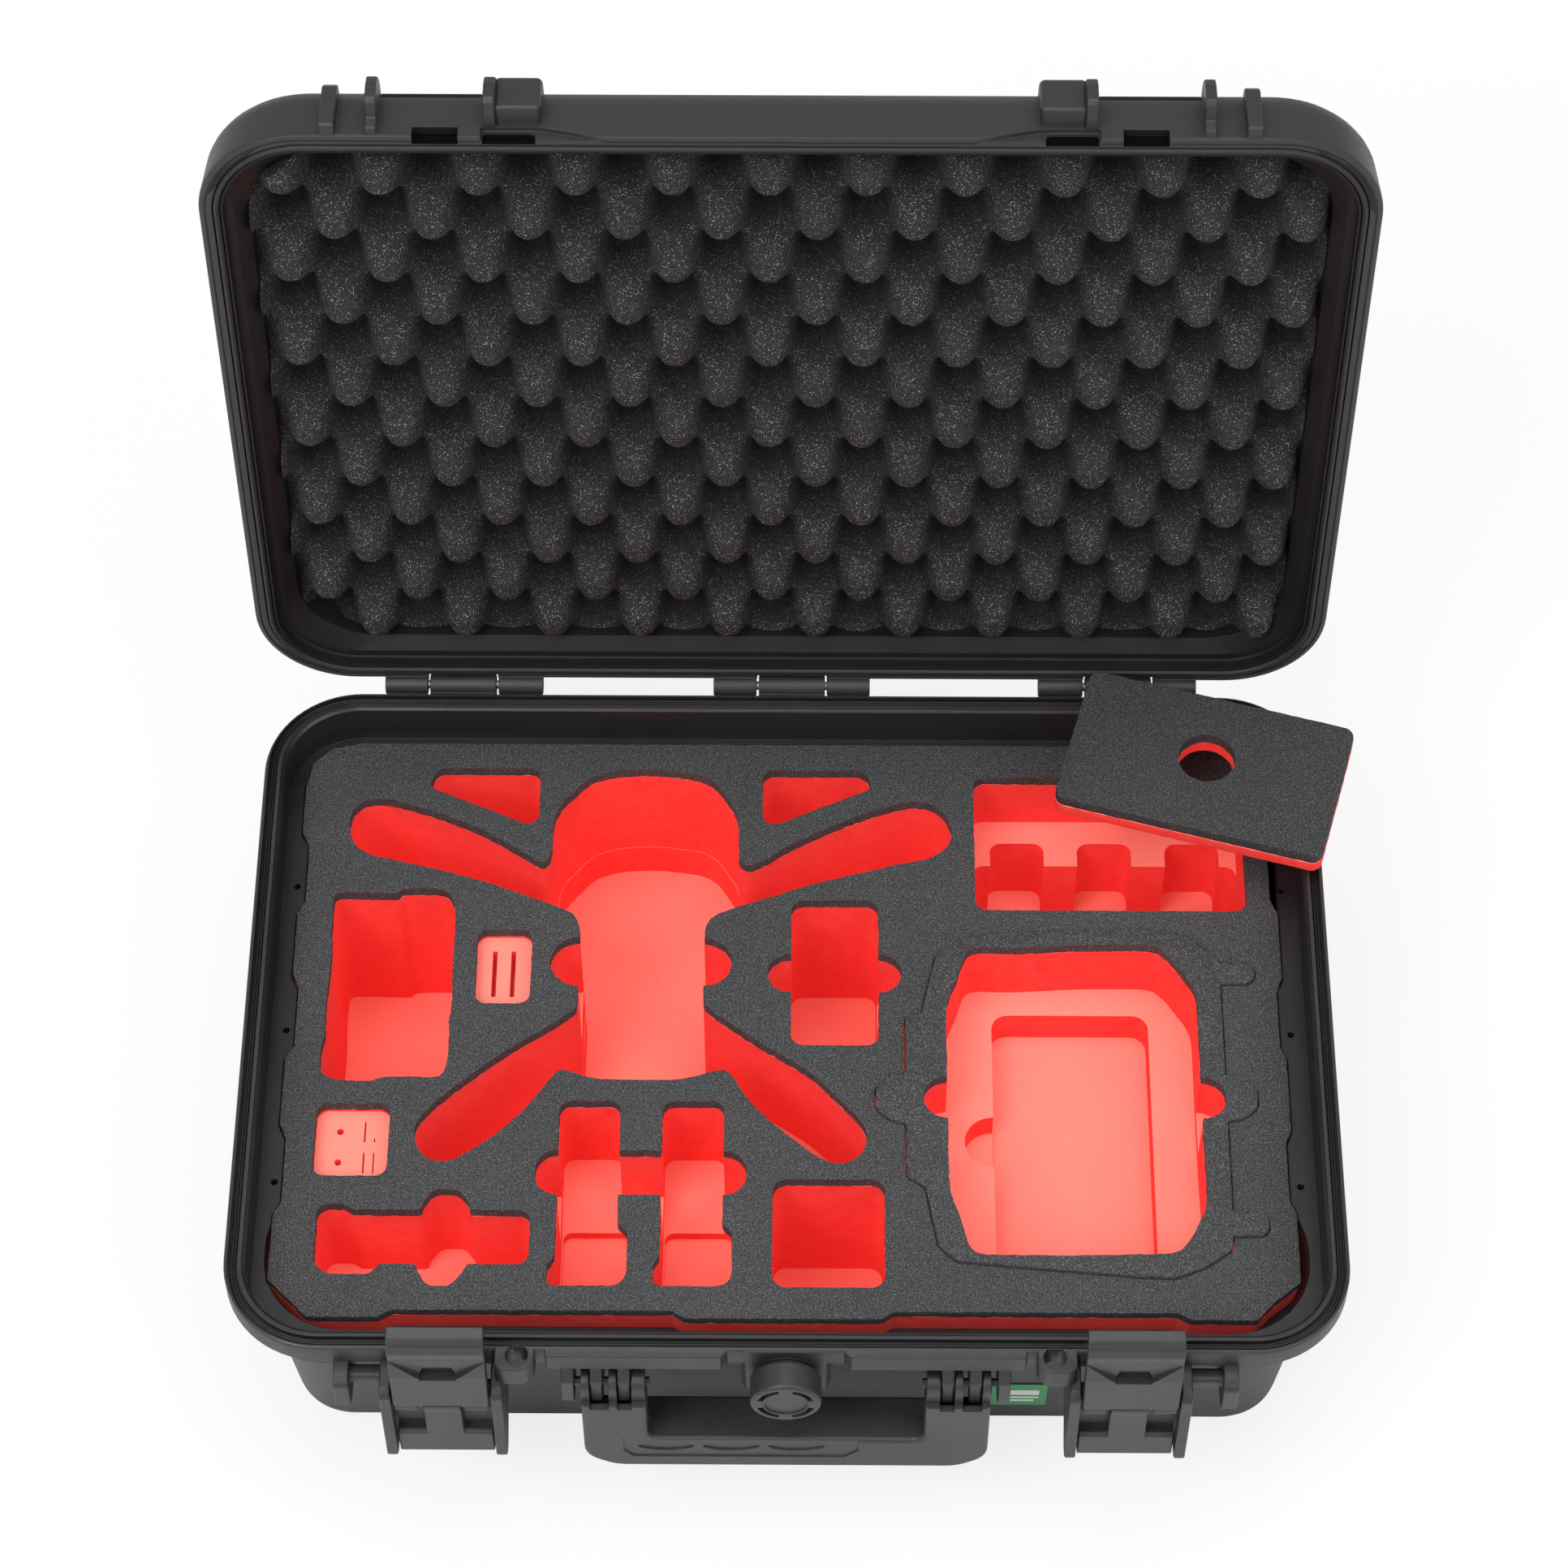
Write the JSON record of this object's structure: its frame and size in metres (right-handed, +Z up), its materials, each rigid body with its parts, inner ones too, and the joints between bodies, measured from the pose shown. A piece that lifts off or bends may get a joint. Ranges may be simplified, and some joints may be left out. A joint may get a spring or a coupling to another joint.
{
  "type": "drone carrying case",
  "caption": "Hinged hard carrying case with fitted two-layer foam pockets for a folding drone and controller, draw latches, drop handle, pressure valve and convoluted lid foam.",
  "frame": {"origin": "centre of the base's flat bottom face", "axes": "+X to the right seen from the latch side, +Y towards the hinges, +Z up; the lid stands open at 93.8 degrees"},
  "size_m": [0.4774, 0.4049, 0.4731],
  "materials": {
    "shell_plastic": "satin injection-moulded polypropylene",
    "hardware_plastic": "satin moulded plastic",
    "seal_rubber": "matt rubber cord",
    "pin_steel": "brushed",
    "black_foam": "fine closed-cell foam, matt",
    "red_foam": "closed-cell foam, matt",
    "label_film": "printed film, plain"
  },
  "bodies": {
    "case_base": {"base_shell": "shell_plastic", "foam_insert_red": "red_foam", "foam_insert_black": "black_foam", "hinge_pin_left": "pin_steel", "hinge_pin_middle": "pin_steel", "hinge_pin_right": "pin_steel", "latch_pivot_pin_left": "pin_steel", "latch_pivot_pin_right": "pin_steel", "handle_pin_left": "pin_steel", "handle_pin_right": "pin_steel", "valve_body": "hardware_plastic", "valve_cap": "hardware_plastic", "valve_gasket": "seal_rubber", "front_label": "label_film"},
    "lid": {"lid_shell": "shell_plastic", "lid_seal": "seal_rubber", "lid_foam": "black_foam"},
    "cover_plate": {"cover_plate_red": "red_foam", "cover_plate_black": "black_foam"},
    "controller_insert": {"controller_insert_red": "red_foam", "controller_insert_black": "black_foam"},
    "lever_left": {"latch_lever_left": "hardware_plastic", "latch_link_pin_left": "pin_steel"},
    "lever_right": {"latch_lever_right": "hardware_plastic", "latch_link_pin_right": "pin_steel"},
    "hook_left": {"latch_hook_left": "hardware_plastic"},
    "hook_right": {"latch_hook_right": "hardware_plastic"},
    "carry_handle": {"handle": "hardware_plastic"}
  },
  "joints": [
    {"name": "lid_hinge", "type": "hinge", "parent": "case_base", "child": "lid", "pos_m": [0, 0.1673, 0.1302], "axis": [-1, 0, 0], "range_deg": [-93.8, 6]},
    {"name": "cover_plate_swing", "type": "hinge", "parent": "lid", "child": "cover_plate", "pos_m": [0.1554, 0.1769, 0.1601], "axis": [0.9207, 0.2849, 0.2669], "range_deg": [-98.6, 6.4]},
    {"name": "latch_lever_left", "type": "hinge", "parent": "case_base", "child": "lever_left", "pos_m": [-0.1394, -0.166, 0.104], "axis": [-1, 0, 0], "range_deg": [-8, 75]},
    {"name": "latch_hook_left", "type": "hinge", "parent": "lever_left", "child": "hook_left", "pos_m": [-0.1394, -0.1736, 0.107], "axis": [-1, 0, 0], "range_deg": [-100.1, 10.8]},
    {"name": "latch_lever_right", "type": "hinge", "parent": "case_base", "child": "lever_right", "pos_m": [0.1394, -0.166, 0.104], "axis": [-1, 0, 0], "range_deg": [-8, 75]},
    {"name": "latch_hook_right", "type": "hinge", "parent": "lever_right", "child": "hook_right", "pos_m": [0.1394, -0.1736, 0.107], "axis": [-1, 0, 0], "range_deg": [-100.1, 10.8]},
    {"name": "handle_fold", "type": "hinge", "parent": "case_base", "child": "carry_handle", "pos_m": [0, -0.164, 0.108], "axis": [-1, 0, 0], "range_deg": [0, 92]},
    {"name": "controller_insert_lift", "type": "slide", "parent": "case_base", "child": "controller_insert", "axis": [0, 0, 1], "range_m": [0, 0.06]}
  ],
  "couplings": [
    {"joint": "cover_plate_swing", "follows": "lid_hinge", "ratio": 1.05},
    {"joint": "latch_hook_left", "follows": "latch_lever_left", "ratio": -1.333},
    {"joint": "latch_hook_right", "follows": "latch_lever_right", "ratio": -1.333}
  ]
}
